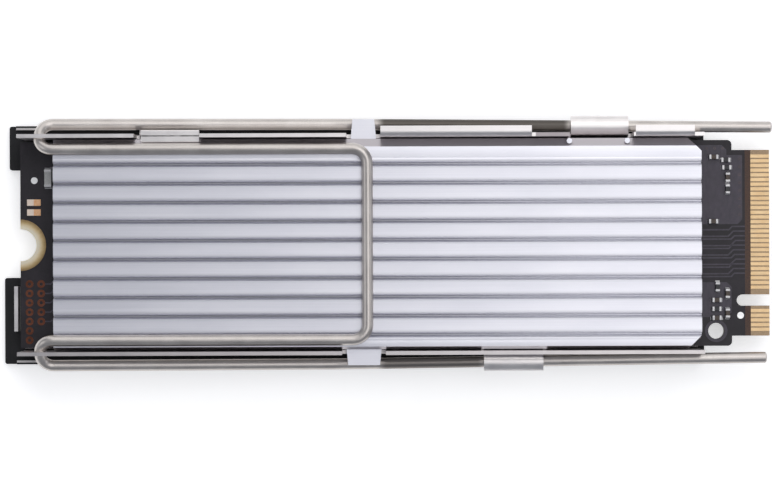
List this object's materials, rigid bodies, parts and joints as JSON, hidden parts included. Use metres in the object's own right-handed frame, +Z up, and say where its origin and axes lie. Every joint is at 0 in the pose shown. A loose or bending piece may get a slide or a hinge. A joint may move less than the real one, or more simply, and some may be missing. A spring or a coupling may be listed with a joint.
{
  "type": "heat-sinked solid-state drive card",
  "caption": "Long card drive with a gold edge connector, under a ribbed aluminium heat sink that a bent spring wire holds in a folded steel channel on a black tray.",
  "frame": {"origin": "middle of the footprint, on the surface that the tray lies on", "axes": "+X along the card towards its edge connector, +Y across it away from the key slot, +Z up through the heat sink"},
  "size_m": [0.082, 0.027, 0.0084],
  "materials": {
    "black_tray": "black moulded tray, satin",
    "bright_steel": "bright plated sheet steel",
    "thermal_pad": "soft grey heat-conducting pad",
    "black_board": "black solder mask over copper tracks",
    "gold_plating": "gold plating",
    "chip_package": "moulded epoxy",
    "metal_can": "plated metal can",
    "ferrite": "moulded ferrite",
    "capacitor_ceramic": "tan ceramic with tinned ends",
    "resistor_film": "dark film with tinned ends",
    "tin_finish": "tinned copper",
    "bare_copper": "copper under a thin clear finish",
    "heatsink_aluminium": "satin clear-anodised extrusion",
    "spring_wire": "drawn spring-steel wire"
  },
  "bodies": {
    "root": {"base_tray": "black_tray", "retainer_channel": "bright_steel", "lower_thermal_pad": "thermal_pad", "circuit_board": "black_board", "edge_contacts_top": "gold_plating", "edge_contacts_bottom": "gold_plating", "screw_notch_plating": "gold_plating", "controller_chip": "chip_package", "dram_chip": "chip_package", "flash_chip_1": "chip_package", "flash_chip_2": "chip_package", "power_chip": "chip_package", "boot_memory_chip": "chip_package", "clock_crystal": "metal_can", "inductors": "ferrite", "ceramic_capacitors": "capacitor_ceramic", "chip_resistors": "resistor_film", "fiducial_dots": "tin_finish", "test_pads": "bare_copper", "upper_thermal_pad": "thermal_pad", "heatsink": "heatsink_aluminium", "wire_clip": "spring_wire"}
  },
  "joints": []
}
